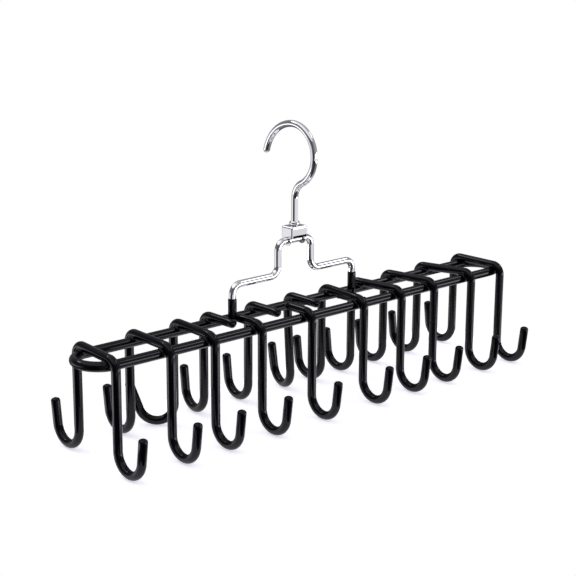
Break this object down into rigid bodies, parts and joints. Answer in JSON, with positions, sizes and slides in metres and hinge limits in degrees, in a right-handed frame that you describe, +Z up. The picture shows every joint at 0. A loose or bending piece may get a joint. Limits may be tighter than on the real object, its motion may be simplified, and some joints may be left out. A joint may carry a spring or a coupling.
{
  "type": "tank top hanger",
  "caption": "Swivelling chrome rod hook and stepped wire bail that carry a long black coated wire rack with a row of upturned hooks on each side.",
  "frame": {"origin": "the rod seat: the inside of the top hook's crown, where it rests on the top of a closet rod", "axes": "+Z up; +X along the rack and the rod; the front row of hooks is on the -Y side. The stem's axis is vertical, 2 mm in front of the origin"},
  "size_m": [0.4342, 0.1164, 0.2236],
  "materials": {
    "chrome": "bright plated",
    "black_coating": "glossy dipped coating on steel wire"
  },
  "bodies": {
    "hook": {"top_hook": "chrome", "stem_collar": "chrome"},
    "swivel": {"swivel_saddle": "chrome"},
    "rack": {"bail": "chrome", "bail_sleeve_left": "black_coating", "bail_sleeve_right": "black_coating", "frame_loop": "black_coating", "foot_rung": "black_coating", "hook_wire_1": "black_coating", "hook_wire_2": "black_coating", "hook_wire_3": "black_coating", "hook_wire_4": "black_coating", "hook_wire_5": "black_coating", "hook_wire_6": "black_coating", "hook_wire_7": "black_coating", "hook_wire_8": "black_coating", "rear_hook_wire_1": "black_coating", "rear_hook_wire_2": "black_coating", "rear_hook_wire_3": "black_coating", "front_hook_wire_1": "black_coating", "front_hook_wire_2": "black_coating"}
  },
  "joints": [
    {"name": "swivel", "type": "hinge", "parent": "hook", "child": "swivel", "pos_m": [0, -0.002, -0.07446], "axis": [0, 0, 1], "continuous": true},
    {"name": "rack_swing", "type": "hinge", "parent": "swivel", "child": "rack", "pos_m": [0, -0.002, -0.08526], "axis": [1, 0, 0], "range_deg": [-90, 90]}
  ]
}
